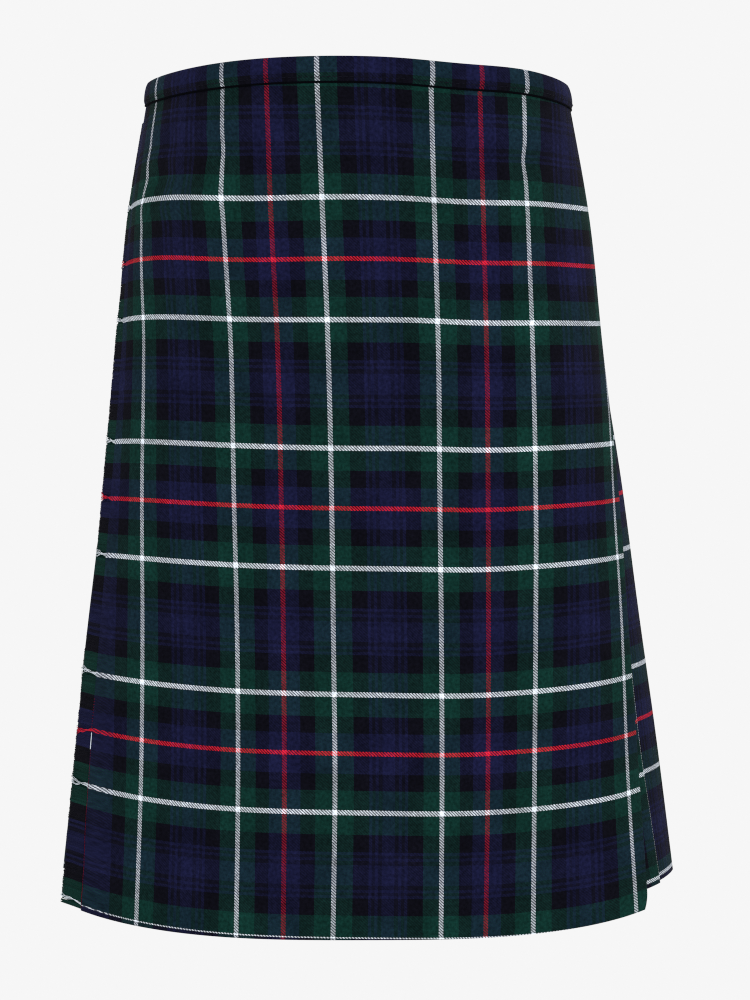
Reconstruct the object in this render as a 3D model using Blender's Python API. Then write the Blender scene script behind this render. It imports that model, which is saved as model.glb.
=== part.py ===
"""A Scottish kilt as it is worn: a flat over apron with a fringed edge, an under apron
beneath it, knife pleats round the sides and back, waistbands, and three leather straps
with buckles.

Frame: metres, +Z up, +X to the wearer's left, the front towards -Y. The origin is the
middle of the waist opening at the height of the waistband's top edge in front.

Every wall is laid out in the garment's own coordinates: the height z, the station s
(metres along the horizontal section from the centre front, positive towards the
wearer's left and on round the back) and out (metres outwards from that section).
"""

import math

import bmesh
import bpy
import numpy as np

# ---------------------------------------------------------------- driving sizes
DROP = 0.6105  # waistband's top to the hem at the centre front
WAIST_DIP = 0.0115  # the waistband's top is this much lower at the sides
WAIST_TILT = 0.001  # and this much more on the wearer's left, less on the right
WAIST_SAG = 0.003  # it sags this much beside the centre front
SAG_AT = 0.068  # at this station
SAG_WIDTH = 0.045
HEM_RISE = 0.0190  # the hem is this much higher at the sides
HEM_TILT = 0.0005  # and this much more on the wearer's left
RISE_POWER = 3.0  # how late towards the sides these set in
PLEAT_LIFT = 0.0125  # the pleats' hem over the apron's

# Horizontal sections, top to hem: two half superellipses that share their width.
SECTION_COLUMNS = (
    "z",
    "centre_x",
    "half_width",
    "front",
    "front_power",
    "back",
    "back_power",
    "cut_edge",
    "fold_edge",
    "first_reveal",
)
SECTIONS = (
    (0.0000, 0.0013, 0.1470, 0.1280, 2.05, 0.0980, 2.00, -0.2000, 0.2130, 0.0040),
    (-0.1000, 0.0018, 0.1638, 0.1220, 2.10, 0.1180, 2.00, -0.1990, 0.2150, 0.0040),
    (-0.2000, 0.0012, 0.1753, 0.1200, 2.20, 0.1380, 2.05, -0.1900, 0.2160, 0.0040),
    (-0.3000, 0.0023, 0.1879, 0.1200, 2.30, 0.1500, 2.10, -0.1920, 0.2135, 0.0040),
    (-0.4000, 0.0030, 0.1993, 0.1210, 2.45, 0.1630, 2.10, -0.1972, 0.2095, 0.0040),
    (-0.5000, 0.0045, 0.2112, 0.1230, 2.65, 0.1780, 2.15, -0.2040, 0.2070, 0.0050),
    (-0.6105, 0.0055, 0.2235, 0.1250, 2.90, 0.1930, 2.20, -0.2078, 0.2085, 0.0160),
)
LEVELS = tuple(row[0] for row in SECTIONS[1:-1])  # heights of points between the ends

WALL = 0.0012  # cloth
GAP = 0.0003  # between pieces at seams
PITCH = 0.00165  # from one layer of a pleat to the next, centre to centre
PLEATS = 18
LEFT_PLEATS = 9  # from the wearer's left hip to the centre back
UNDERLAP = 0.8  # hidden depth of a pleat over its visible width
PLEAT_END = 0.025  # the last pleat's fold lies this far under the over apron
APRON_LIFT = 0.0060  # the over apron's cut edge stands out over the last pleats
UNDER_INSET = 0.0085  # the under apron's free edge lies this far inside
UNDER_CLEAR = 0.008  # and this far short of the hidden pleat at the left hip

BAND_HEIGHT = 0.017
BAND_WALL = 0.0012
BAND_GAP = 0.0005  # between a leg and the cloth
SEAM_TOP = -0.0215  # hidden folds start here, below the waistband

FRINGE_TOP = -0.030
STRIP = 0.0025  # width of the backing that the strands are rooted in
STRANDS = 200
STRIP_PARTS = 24  # straight stretches of the backing's inner edge
STRAND_LENGTHS = ((-0.03, 0.012), (-0.14, 0.015), (-0.36, 0.015), (-0.44, 0.019), (-DROP, 0.021))
STRAND_CURVE = 0.11  # radius of the form at the cut edge, which the strands leave straight
STRAND_TAPER = 0.45

LEATHER = 0.0020
CHAPE = 0.0016
STRAP_WIDTH = 0.025
BAR = 0.0013  # radius of the buckle's wire
PRONG = 0.0009
PRONG_HOLE = 0.0022  # half its width
SLOT_BEHIND = 0.0040  # the chape's slot runs this far past the hinge bar
CLOTH_FACE = WALL / 2 + 0.00035  # straps lie this far outside the pleats' envelope

SAMPLES = 720  # points that each section is measured with


# ---------------------------------------------------------------- garment coordinates
def column(name):
    return np.array([row[SECTION_COLUMNS.index(name)] for row in SECTIONS])


def size_at(name, z):
    """A section's size at height z, read between the table's rows."""
    return float(np.interp(-z, -column("z"), column(name)))


class Section:
    """One horizontal section, measured by its own length."""

    def __init__(self, z):
        self.z = z
        for name in SECTION_COLUMNS[1:]:
            setattr(self, name, size_at(name, z))
        turn = np.linspace(0, 2 * math.pi, SAMPLES + 1)
        depth, power = self.halves(-np.cos(turn))
        sine, cosine = np.sin(turn), np.cos(turn)
        across = self.half_width * np.sign(sine) * np.abs(sine) ** (2 / power)
        along = -depth * np.sign(cosine) * np.abs(cosine) ** (2 / power)
        self.points = np.stack([across, along], 1)
        steps = np.linalg.norm(np.diff(self.points, axis=0), axis=1)
        self.lengths = np.concatenate([[0], np.cumsum(steps)])
        self.girth = self.lengths[-1]

    def halves(self, backwards):
        behind = backwards > 0
        depth = np.where(behind, self.back, self.front)
        return depth, np.where(behind, self.back_power, self.front_power)

    def place(self, s, out):
        """World x and y of a station, moved outwards, and how much lower the waist and
        how much higher the hem is there."""
        at = s % self.girth
        x = np.interp(at, self.lengths, self.points[:, 0])
        y = np.interp(at, self.lengths, self.points[:, 1])
        depth, power = self.halves(y)
        normal = np.array(
            [
                math.copysign(abs(x / self.half_width) ** (power - 1), x) / self.half_width,
                math.copysign(abs(y / depth) ** (power - 1), y) / depth,
            ]
        )
        normal /= np.linalg.norm(normal)
        side = math.copysign(abs(x / self.half_width) ** RISE_POWER, x)
        from_sag = (s - SAG_AT + self.girth / 2) % self.girth - self.girth / 2
        lower = WAIST_DIP * abs(side) + WAIST_TILT * side
        lower += WAIST_SAG * math.exp(-((from_sag / SAG_WIDTH) ** 2))
        higher = HEM_RISE * abs(side) + HEM_TILT * side
        return np.array([x + self.centre_x, y]) + out * normal, (lower, higher)


SECTION_CACHE = {}


def section(z):
    if z not in SECTION_CACHE:
        SECTION_CACHE[z] = Section(z)
    return SECTION_CACHE[z]


def height(z, ends):
    """The height of a point whose nominal height is z, where ends are how much lower
    the waist and how much higher the hem is."""
    down = min(max(-z / DROP, 0), 1)
    return z - ends[0] * (1 - down) + ends[1] * down


def world(z, s, out):
    flat, ends = section(z).place(s, out)
    return (flat[0], flat[1], height(z, ends))


# ---------------------------------------------------------------- walls
def path_normals(path):
    """Unit normals of a path of (s, out) points, with the mitre's length."""
    path = np.array(path, float)
    steps = np.diff(path, axis=0)
    steps /= np.linalg.norm(steps, axis=1)[:, None]
    before = np.vstack([steps[:1], steps])
    after = np.vstack([steps, steps[-1:]])
    mean = before + after
    mean /= np.linalg.norm(mean, axis=1)[:, None]
    mitre = 1 / np.maximum((mean * after).sum(1), 0.75)
    return np.stack([-mean[:, 1], mean[:, 0]], 1) * mitre[:, None]


def finish(name, verts, faces, colour, roughness, metallic=0.0):
    mesh = bpy.data.meshes.new(name)
    mesh.from_pydata(verts, [], faces)
    bm = bmesh.new()
    bm.from_mesh(mesh)
    loose = [vert for vert in bm.verts if not vert.link_faces]
    bmesh.ops.delete(bm, geom=loose, context="VERTS")
    bmesh.ops.recalc_face_normals(bm, faces=bm.faces)
    bm.to_mesh(mesh)
    bm.free()
    mesh.shade_smooth()
    mesh.set_sharp_from_angle(angle=math.radians(50))
    thing = bpy.data.objects.new(name, mesh)
    KILT.objects.link(thing)
    material = bpy.data.materials.get(colour[0])
    if material is None:
        material = bpy.data.materials.new(colour[0])
        material.use_nodes = True
        shader = material.node_tree.nodes["Principled BSDF"]
        shader.inputs["Base Color"].default_value = (*colour[1], 1)
        shader.inputs["Roughness"].default_value = roughness
        shader.inputs["Metallic"].default_value = metallic
    mesh.materials.append(material)
    return thing


def wall_from_sides(outer, inner, keep=lambda j, i: True, forward=lambda i: True):
    """Vertices and faces of the closed wall between two grids of points. keep says
    which cells of the grid are cloth; the edge of each opening gets its rim. forward
    says which columns run towards larger s, so that layers that lie on each other are
    creased along the same diagonals."""
    rows, columns = len(outer), len(outer[0])
    used, verts, faces = {}, [], []

    def vertex(side, j, i):
        if (side, j, i) not in used:
            used[side, j, i] = len(verts)
            verts.append(tuple((outer, inner)[side][j][i]))
        return used[side, j, i]

    rims = {}
    for j in range(rows - 1):
        for i in range(columns - 1):
            if not keep(j, i):
                continue
            corners = [(j, i), (j, i + 1), (j + 1, i + 1), (j + 1, i)]
            first = 0 if forward(i) else 1
            a, b, c, d = (corners[(first + k) % 4] for k in range(4))
            for triangle in ((a, b, c), (a, c, d)):
                faces.append([vertex(0, *at) for at in triangle])
                faces.append([vertex(1, *at) for at in reversed(triangle)])
            for start, stop in zip(corners, corners[1:] + corners[:1]):
                edge = (min(start, stop), max(start, stop))
                rims[edge] = None if edge in rims else (start, stop)
    for pair in filter(None, rims.values()):
        start, stop = pair
        faces.append(
            [vertex(0, *stop), vertex(0, *start), vertex(1, *start), vertex(1, *stop)]
        )
    return verts, faces


def wall(name, path_at, hem, hidden=()):
    """A cloth wall about a path in each row, from under the waistband down to hem. The
    points numbered in hidden start below the band."""
    rows = (-CLOTH_TOP, SEAM_TOP) + LEVELS + (hem,)
    sides = ([], [])
    for z in rows:
        path = path_at(z)
        normals = path_normals(path) * WALL / 2
        for side, sign in zip(sides, (1, -1)):
            side.append([world(z, *(at + sign * n)) for at, n in zip(np.array(path), normals)])
    hidden, stations = set(hidden), [s for s, _ in path_at(hem)]
    verts, faces = wall_from_sides(
        *sides,
        keep=lambda j, i: j or not hidden & {i, i + 1},
        forward=lambda i: stations[i + 1] > stations[i],
    )
    return finish(name, verts, faces, *TARTAN)


# ---------------------------------------------------------------- stations of the pleats
def reveal(z):
    """The visible width of each pleat after the first."""
    here = section(z)
    free = here.girth + here.cut_edge + PLEAT_END - here.fold_edge - here.first_reveal
    return free / (PLEATS - 1)


def fold_at(z, pleat):
    """The fold edge of a pleat; number 0 is the over apron's folded edge."""
    here = section(z)
    if pleat == 0:
        return here.fold_edge
    return here.fold_edge + here.first_reveal + (pleat - 1) * reveal(z)


def shown(z, pleat):
    return fold_at(z, pleat) - fold_at(z, pleat - 1)


def apron_out(z, s):
    """The over apron's height over the section, from its cut edge to its fold."""
    here = section(z)
    share = (here.fold_edge - s) / (here.fold_edge - here.cut_edge)
    return APRON_LIFT * min(max(share, 0), 1)


def fold_out(z, pleat):
    """How far out a fold edge lies. The first pleat's, close to the apron's, is sunk."""
    return -2 * PITCH * (1 - shown(z, 1) / reveal(z)) if pleat == 1 else 0.0


def face_out(z, pleat, back):
    """How far out a pleat's face lies, back metres behind its own fold edge. Past the
    fold edge before it, it lies under that pleat and the return of its fold."""
    if pleat == 0:
        return apron_out(z, section(z).fold_edge - back)
    width = shown(z, pleat)
    if back > width:
        return face_out(z, pleat - 1, back - width) - 2 * PITCH
    edge, inner = fold_out(z, pleat), fold_out(z, pleat - 1) - 2 * PITCH
    return edge + (inner - edge) * back / width


def half_turn(s, out, towards):
    """The two points between the ends of a fold of radius PITCH / 2 that starts at
    (s, out) and turns inwards."""
    radius, lean = PITCH / 2, math.radians(30)
    across = towards * radius * math.cos(lean)
    return [
        (s + across, out - radius + radius * math.sin(lean)),
        (s + across, out - radius - radius * math.sin(lean)),
    ]


def face_points(z, pleat):
    """A pleat's face from its hidden inner fold to its fold edge."""
    width, hidden, edge = shown(z, pleat), UNDERLAP * reveal(z), fold_at(z, pleat)
    backs = [width + hidden - PITCH / 2, width + hidden / 2, width]
    backs += [width * UNDERLAP, width * UNDERLAP / 2, PITCH / 2]
    return [(edge - back, face_out(z, pleat, back)) for back in backs]


def return_points(z, pleat):
    """The fold edge and the hidden run back to the inner fold."""
    hidden, edge = UNDERLAP * reveal(z), fold_at(z, pleat)
    turn = half_turn(edge - PITCH / 2, face_out(z, pleat, PITCH / 2), 1)
    backs = [PITCH / 2, hidden / 2, hidden - PITCH / 2]
    return turn + [(edge - back, face_out(z, pleat, back) - PITCH) for back in backs]


def inner_fold(z, pleat):
    s, out = return_points(z, pleat)[-1]
    return half_turn(s, out, -1)


FACE_HIDDEN = 3  # points of a face that lie under the pleat before


def pleat_path(first, last):
    """The path of pleats first to last, with a seam inside each end."""

    def path(z):
        points = []
        for pleat in range(first, last + 1):
            points += face_points(z, pleat) + return_points(z, pleat)
            if pleat < last:
                points += inner_fold(z, pleat)
        return points

    return path


# ---------------------------------------------------------------- cloth pieces
APRON_STEPS = 20


def over_apron_path(z):
    here = section(z)
    hidden = UNDERLAP * reveal(z)
    start, stop = here.cut_edge, here.fold_edge - hidden
    stations = list(np.linspace(start, stop, APRON_STEPS + 1))
    stations += [here.fold_edge - hidden / 2, here.fold_edge - PITCH / 2]
    return [(s, apron_out(z, s)) for s in stations] + return_points(z, 0)


def over_apron():
    face = APRON_STEPS + 3
    return wall("over_apron", over_apron_path, -DROP, range(face, len(over_apron_path(0.0))))


def under_out(z, s):
    """The under apron sinks from the last pleat's level to its free edge."""
    here = section(z)
    start = here.cut_edge + PLEAT_END
    share = (s - start) / (here.fold_edge - start)
    return -2 * PITCH - (UNDER_INSET - 2 * PITCH) * share


def under_apron_path(z):
    here = section(z)
    hidden = face_points(z, PLEATS + 1)[:FACE_HIDDEN]
    stop = here.girth + here.fold_edge - UNDERLAP * reveal(z) - UNDER_CLEAR
    stations = np.linspace(fold_at(z, PLEATS), stop, APRON_STEPS - 2)[1:]
    return hidden + [(s, under_out(z, s - here.girth)) for s in stations]


def under_apron():
    return wall("under_apron", under_apron_path, PLEAT_LIFT - DROP, range(FACE_HIDDEN - 1))


def pleats(name, first, last):
    hidden = range(FACE_HIDDEN - 1 if first == 1 else 0)
    return wall(name, pleat_path(first, last), PLEAT_LIFT - DROP, hidden)


# ---------------------------------------------------------------- waistbands
CLOTH_TOP = BAND_WALL + GAP + WALL / 2  # the cloth's top under the band's
BAND_CORNER = 0.0009


def band(name, stations, outside, inside):
    """An inverted channel over the cloth's top edge. stations are functions of the
    height; outside and inside give how far out the middle of its two legs lies."""
    half = BAND_WALL / 2
    outer, inner = [], []
    for station in stations:
        far, near = outside(station(0.0)), inside(station(0.0))
        shell = [
            (far + half, -BAND_HEIGHT),
            (far + half, -BAND_CORNER),
            (far + half - BAND_CORNER, 0.0),
            (near - half + BAND_CORNER, 0.0),
            (near - half, -BAND_CORNER),
            (near - half, -BAND_HEIGHT),
        ]
        hollow = [
            (far - half, -BAND_HEIGHT),
            (far - half, -BAND_WALL - GAP),
            (far - half - GAP, -BAND_WALL),
            (near + half + GAP, -BAND_WALL),
            (near + half, -BAND_WALL - GAP),
            (near + half, -BAND_HEIGHT),
        ]
        outer.append([world(z, station(z), out) for out, z in shell])
        inner.append([world(z, station(z), out) for out, z in hollow])
    verts, faces = wall_from_sides(outer, inner)
    return finish(name, verts, faces, *TARTAN)


def along(path_at, numbers, shift=0.0):
    """For each numbered point of a cloth's path, its station at height z."""
    return [lambda z, k=k: path_at(z)[k][0] + shift for k in numbers]


def bands():
    leg = WALL / 2 + BAND_GAP + BAND_WALL / 2
    band(
        "waistband_over_apron",
        along(over_apron_path, range(APRON_STEPS + 3)),
        lambda s: apron_out(0.0, s) + leg,
        lambda s: apron_out(0.0, s) - leg,
    )
    path = pleat_path(1, PLEATS)
    per_pleat = len(pleat_path(1, 2)(0.0)) - len(pleat_path(2, 2)(0.0))
    numbers = [5] + [per_pleat * k + n for k in range(1, PLEATS) for n in (3, 4, 5)]
    stations = along(path, numbers)
    past_fold = PITCH / 2 + WALL / 2 + GAP
    stations.insert(0, lambda z: section(z).fold_edge + past_fold)
    stations.append(lambda z: fold_at(z, PLEATS) + past_fold)
    folds = [fold_at(0.0, pleat) for pleat in (2, 3)]
    depths = [face_out(0.0, pleat, reveal(0.0) * (1 + UNDERLAP)) for pleat in (3, 4)]
    band(
        "waistband_back",
        stations,
        lambda s: leg,
        lambda s: np.interp(s, folds, depths) - leg,
    )
    numbers = range(FACE_HIDDEN, len(under_apron_path(0.0)))
    stations = along(under_apron_path, numbers)
    stations.insert(0, lambda z: fold_at(z, PLEATS) + past_fold + 2 * GAP)
    girth = section(0.0).girth
    band(
        "waistband_under_apron",
        stations,
        lambda s: under_out(0.0, s - girth) + leg,
        lambda s: under_out(0.0, s - girth) - leg,
    )


# ---------------------------------------------------------------- fringe
def strand_length(z):
    heights, lengths = zip(*STRAND_LENGTHS)
    return float(np.interp(-z, [-h for h in heights], lengths))


def apron_fringe():
    """A narrow strip beside the over apron's cut edge, in cells of equal height. Every
    second cell's outer face runs out into a strand."""
    cells = 2 * STRANDS + 1
    heights = np.linspace(FRINGE_TOP, -DROP, cells + 1)
    root = [section(z).cut_edge - WALL / 2 - GAP for z in heights]
    half = WALL / 2
    verts, faces = [], []
    for z, s in zip(heights, root):
        for out in (half, -half):
            verts.append(world(z, s, APRON_LIFT + out))
            verts.append(world(z, s - STRIP, APRON_LIFT + out))

    def corner(row, side, edge):
        return 4 * row + 2 * side + edge

    stops = [round(k * cells / STRIP_PARTS) for k in range(STRIP_PARTS + 1)]
    for top, low in zip(stops, stops[1:]):
        middle = (top + low) // 2
        for side in (0, 1):
            fans = [(corner(top, side, 0), row) for row in range(top, middle)]
            fans += [(corner(low, side, 0), row) for row in range(middle, low)]
            triangles = [(near, corner(r + 1, side, 1), corner(r, side, 1)) for near, r in fans]
            ends = (corner(top, side, 0), corner(low, side, 0))
            triangles.append((*ends, corner(middle, side, 1)))
            faces += [tri[::-1] if side else tri for tri in triangles]
        faces.append([corner(top, 0, 0), corner(top, 1, 0), corner(low, 1, 0), corner(low, 0, 0)])
    for row in (0, cells):
        faces.append([corner(row, 0, 0), corner(row, 0, 1), corner(row, 1, 1), corner(row, 1, 0)])
    for row in range(cells):
        ring = [corner(row, 0, 1), corner(row + 1, 0, 1), corner(row + 1, 1, 1), corner(row, 1, 1)]
        if row % 2 == 0:
            faces.append(ring)
            continue
        middle = (heights[row] + heights[row + 1]) / 2
        reach = strand_length(middle) * (1 + 0.18 * math.sin(2.4 * row))
        droop = min(0.0035 * (1 + 0.5 * math.sin(1.7 * row)), DROP + middle - 0.0012)
        end = section(max(middle - droop, -DROP))
        width = STRAND_TAPER * abs(heights[row + 1] - heights[row]) / 2
        thick = STRAND_TAPER * half
        level = APRON_LIFT + reach**2 / (2 * STRAND_CURVE) + 0.0008 * math.sin(3.1 * row)
        tip = len(verts)
        s = end.cut_edge - WALL / 2 - GAP - STRIP - reach
        for rise, out in ((width, thick), (-width, thick), (-width, -thick), (width, -thick)):
            flat, ends = end.place(s, level + out)
            verts.append((flat[0], flat[1], height(end.z, ends) + rise))
        for k in range(4):
            faces.append([ring[k], ring[(k + 1) % 4], tip + (k + 1) % 4, tip + k])
        faces.append([tip + k for k in range(4)])
    return finish("apron_fringe", verts, faces, *TARTAN)


# ---------------------------------------------------------------- straps and buckles
STRAP_OUT = CLOTH_FACE + LEATHER / 2
OUTER_BAR_OUT = STRAP_OUT + LEATHER / 2 + GAP + BAR
CHAPE_OUT = CLOTH_FACE + CHAPE / 2
HINGE_OUT = CHAPE_OUT + CHAPE / 2 + GAP + BAR
FLAP_OUT = HINGE_OUT + BAR + GAP + CHAPE / 2
OVER_OUT = FLAP_OUT + CHAPE / 2 + GAP + LEATHER / 2
OUTER_BAR_AT = 0.056  # all along the strap, from its root
HINGE_AT = 0.082
STRAP_END = 0.132
CHAPE_END = 0.120
FLAP_END = 0.100
KEEPER_AT = 0.092
KEEPER_WIDTH = 0.006
KEEPER_WALL = 0.0014

STRAP_COLUMNS = ("name", "z", "root_from_edge", "direction")
STRAPS = (
    ("right_waist", -0.038, 0.012, -1),
    ("right_hip", -0.130, 0.012, -1),
    ("left_waist", -0.038, -0.0275, 1),
)


class Strap:
    """Coordinates of one strap: q along it from its root, out, and rise across it."""

    def __init__(self, row):
        self.name, self.z, inset, self.way = row
        here = section(self.z)
        edge = here.cut_edge if self.way < 0 else here.fold_edge
        self.root = edge - self.way * inset

    def world(self, q, out, rise):
        return world(self.z + rise, self.station(q, rise), out)

    def station(self, q, rise):
        here, there = section(self.z), section(self.z + rise)
        edge = "cut_edge" if self.way < 0 else "fold_edge"
        return self.root + getattr(there, edge) - getattr(here, edge) + self.way * q

    def ribbon(self, name, path, rises, thickness, look, keep):
        normals = path_normals(path) * thickness / 2
        outer = [
            [self.world(q + n[0], out + n[1], rise) for (q, out), n in zip(path, normals)]
            for rise in rises
        ]
        inner = [
            [self.world(q - n[0], out - n[1], rise) for (q, out), n in zip(path, normals)]
            for rise in rises
        ]
        verts, faces = wall_from_sides(outer, inner, keep)
        return finish(f"{name}_{self.name}", verts, faces, *look)

    def rises(self, slot):
        half = STRAP_WIDTH / 2
        return (half, slot, -slot, -half)

    def strap(self):
        path = [(q, STRAP_OUT) for q in np.linspace(0, OUTER_BAR_AT + 0.001, 7)]
        hole = len(path)
        climb = ((0.0625, 0.24), (0.0745, 0.90), (0.080, 1.0))
        path += [(q, STRAP_OUT + up * (OVER_OUT - STRAP_OUT)) for q, up in climb]
        path += [(q, OVER_OUT) for q in (0.090, 0.101)]
        path += [(0.117, OVER_OUT - 0.0006), (STRAP_END, OVER_OUT - 0.0018)]
        self.ribbon(
            "strap",
            path,
            self.rises(PRONG_HOLE),
            LEATHER,
            LEATHER_LOOK,
            lambda j, i: not (j == 1 and i == hole),
        )

    def chape(self):
        turn = HINGE_OUT - CHAPE_OUT
        path = [(q, CHAPE_OUT) for q in np.linspace(CHAPE_END, HINGE_AT, 4)]
        start = len(path) - 1
        for step in range(1, 6):
            angle = math.pi * step / 6
            path.append(
                (HINGE_AT - turn * math.sin(angle), HINGE_OUT - turn * math.cos(angle))
            )
        path += [(q, FLAP_OUT) for q in (HINGE_AT, HINGE_AT + SLOT_BEHIND, FLAP_END)]
        stop = len(path) - 2
        self.ribbon(
            "chape",
            path,
            self.rises(PRONG_HOLE),
            CHAPE,
            LEATHER_LOOK,
            lambda j, i: not (j == 1 and start <= i < stop),
        )

    def keeper(self):
        """A loop of leather over the strap, its feet on the cloth."""
        leg = STRAP_WIDTH / 2 + GAP + KEEPER_WALL / 2
        top = OVER_OUT + LEATHER / 2 + GAP + KEEPER_WALL / 2
        foot = CLOTH_FACE
        bend = 0.0008
        path = [(leg, foot), (leg, top - bend), (leg - bend, top)]
        path += [(-rise, out) for rise, out in reversed(path)]
        normals = path_normals(path) * KEEPER_WALL / 2
        ends = [KEEPER_AT - KEEPER_WIDTH / 2, KEEPER_AT + KEEPER_WIDTH / 2]
        sides = [
            [
                [
                    self.world(q, out + sign * n[1], rise + sign * n[0])
                    for (rise, out), n in zip(path, normals)
                ]
                for q in ends
            ]
            for sign in (1, -1)
        ]
        verts, faces = wall_from_sides(*sides)
        return finish(f"keeper_{self.name}", verts, faces, *LEATHER_LOOK)

    def tube(self, name, route, radius, sides, closed):
        """A round bar about a route of (q, rise, out) points."""
        route = np.array(route, float)
        count = len(route)
        verts, faces = [], []
        for k, here in enumerate(route):
            if closed:
                ahead, behind = route[(k + 1) % count], route[k - 1]
            else:
                ahead, behind = route[min(k + 1, count - 1)], route[max(k - 1, 0)]
            along = (ahead - behind) / np.linalg.norm(ahead - behind)
            up = np.array([0.0, 1.0, 0.0]) if not closed else np.array([0.0, 0.0, 1.0])
            side = np.cross(along, up)
            side /= np.linalg.norm(side)
            up = np.cross(side, along)
            for n in range(sides):
                angle = 2 * math.pi * (n + 0.5) / sides
                q, rise, out = here + radius * (math.cos(angle) * side + math.sin(angle) * up)
                verts.append(self.world(q, out, rise))
        for k in range(count if closed else count - 1):
            for n in range(sides):
                m, far = (n + 1) % sides, (k + 1) % count
                faces.append(
                    [k * sides + n, k * sides + m, far * sides + m, far * sides + n]
                )
        if not closed:
            faces.append(list(range(sides)))
            faces.append([(count - 1) * sides + n for n in range(sides)])
        return finish(f"{name}_{self.name}", verts, faces, *METAL)

    def frame(self):
        """A rectangular ring round the strap and the chape's loop."""
        reach = STRAP_WIDTH / 2 + GAP + BAR + 0.0012
        corner = 0.003
        length = HINGE_AT - OUTER_BAR_AT
        middle = (HINGE_AT + OUTER_BAR_AT) / 2
        route = []
        for turn_q, turn_rise in ((1, 1), (-1, 1), (-1, -1), (1, -1)):
            first = 0 if turn_q == turn_rise else 90
            for angle in (0, 45, 90):
                lean = math.radians(first + (angle if turn_q == turn_rise else -angle))
                q = middle + turn_q * (length / 2 - corner + corner * math.cos(lean))
                rise = turn_rise * (reach - corner + corner * math.sin(lean))
                share = (q - OUTER_BAR_AT) / length
                out = OUTER_BAR_OUT + (HINGE_OUT - OUTER_BAR_OUT) * share
                route.append((q, rise, out))
        self.tube("buckle", route, BAR, 6, True)

    def prong(self):
        """A pin that hooks over the hinge bar and rests on the outer bar."""
        ring = BAR + GAP + PRONG
        route = []
        for angle in (120, 90, 60, 30):
            lean = math.radians(angle)
            route.append((HINGE_AT - ring * math.cos(lean), 0.0, HINGE_OUT + ring * math.sin(lean)))
        rest = OUTER_BAR_OUT + BAR + GAP + PRONG
        route.append((HINGE_AT - 0.0075, 0.0, HINGE_OUT + 0.0012))
        route.append((OUTER_BAR_AT + 0.006, 0.0, rest - 0.0005))
        route.append((OUTER_BAR_AT - 0.002, 0.0, rest + 0.0001))
        self.tube("prong", route, PRONG, 6, False)


def straps():
    for row in STRAPS:
        strap = Strap(row)
        strap.strap()
        strap.chape()
        strap.keeper()
        strap.frame()
        strap.prong()


# ---------------------------------------------------------------- looks and making
TARTAN = (("tartan wool", (0.010, 0.022, 0.026)), 0.9)
LEATHER_LOOK = (("black leather", (0.012, 0.011, 0.011)), 0.45)
METAL = (("chromed steel", (0.75, 0.75, 0.76)), 0.22, 1.0)

for old in list(bpy.data.objects):
    bpy.data.objects.remove(old, do_unlink=True)
KILT = bpy.data.collections.new("Scottish kilt")
bpy.context.scene.collection.children.link(KILT)

over_apron()
apron_fringe()
under_apron()
pleats("pleats_left", 1, LEFT_PLEATS)
pleats("pleats_right", LEFT_PLEATS + 1, PLEATS)
bands()
straps()
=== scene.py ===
"""The looks of a Scottish kilt: worn tartan wool over its packed form, with a flat over
apron, knife pleats, waistbands, a fringed edge, and leather straps with steel buckles.

The cloth is laid out in the garment's own coordinates, as its solids are: the height z,
the station s (metres along the horizontal section from the centre front, positive
towards the wearer's left and on round the back) and out (metres outwards).
"""

import math

import bpy
import numpy as np
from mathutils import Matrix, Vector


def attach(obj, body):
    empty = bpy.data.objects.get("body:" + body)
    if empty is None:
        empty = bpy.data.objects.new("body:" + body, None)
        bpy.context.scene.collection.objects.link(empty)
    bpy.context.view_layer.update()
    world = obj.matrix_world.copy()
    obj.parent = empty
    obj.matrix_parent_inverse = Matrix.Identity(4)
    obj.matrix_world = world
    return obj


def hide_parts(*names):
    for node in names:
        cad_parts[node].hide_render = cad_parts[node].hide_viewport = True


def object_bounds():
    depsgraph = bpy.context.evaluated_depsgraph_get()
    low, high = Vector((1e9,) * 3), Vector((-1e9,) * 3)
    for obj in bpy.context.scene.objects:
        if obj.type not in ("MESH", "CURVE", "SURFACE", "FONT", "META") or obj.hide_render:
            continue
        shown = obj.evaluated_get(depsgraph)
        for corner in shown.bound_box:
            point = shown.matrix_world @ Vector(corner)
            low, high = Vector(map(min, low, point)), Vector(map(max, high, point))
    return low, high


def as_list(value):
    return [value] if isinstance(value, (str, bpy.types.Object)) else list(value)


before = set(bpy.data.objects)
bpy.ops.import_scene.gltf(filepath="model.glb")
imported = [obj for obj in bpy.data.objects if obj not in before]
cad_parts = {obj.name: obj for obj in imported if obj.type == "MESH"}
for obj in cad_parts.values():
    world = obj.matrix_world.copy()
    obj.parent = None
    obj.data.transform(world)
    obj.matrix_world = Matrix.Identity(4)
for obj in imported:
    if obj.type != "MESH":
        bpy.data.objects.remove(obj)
solid_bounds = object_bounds()

# -------- sizes of the form
DROP = 0.6105
WAIST_DIP = 0.0115
WAIST_TILT = 0.001
WAIST_SAG = 0.003
SAG_AT = 0.068
SAG_WIDTH = 0.045
HEM_RISE = 0.0190
HEM_TILT = 0.0005
RISE_POWER = 3.0
PLEAT_LIFT = 0.0125

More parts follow.
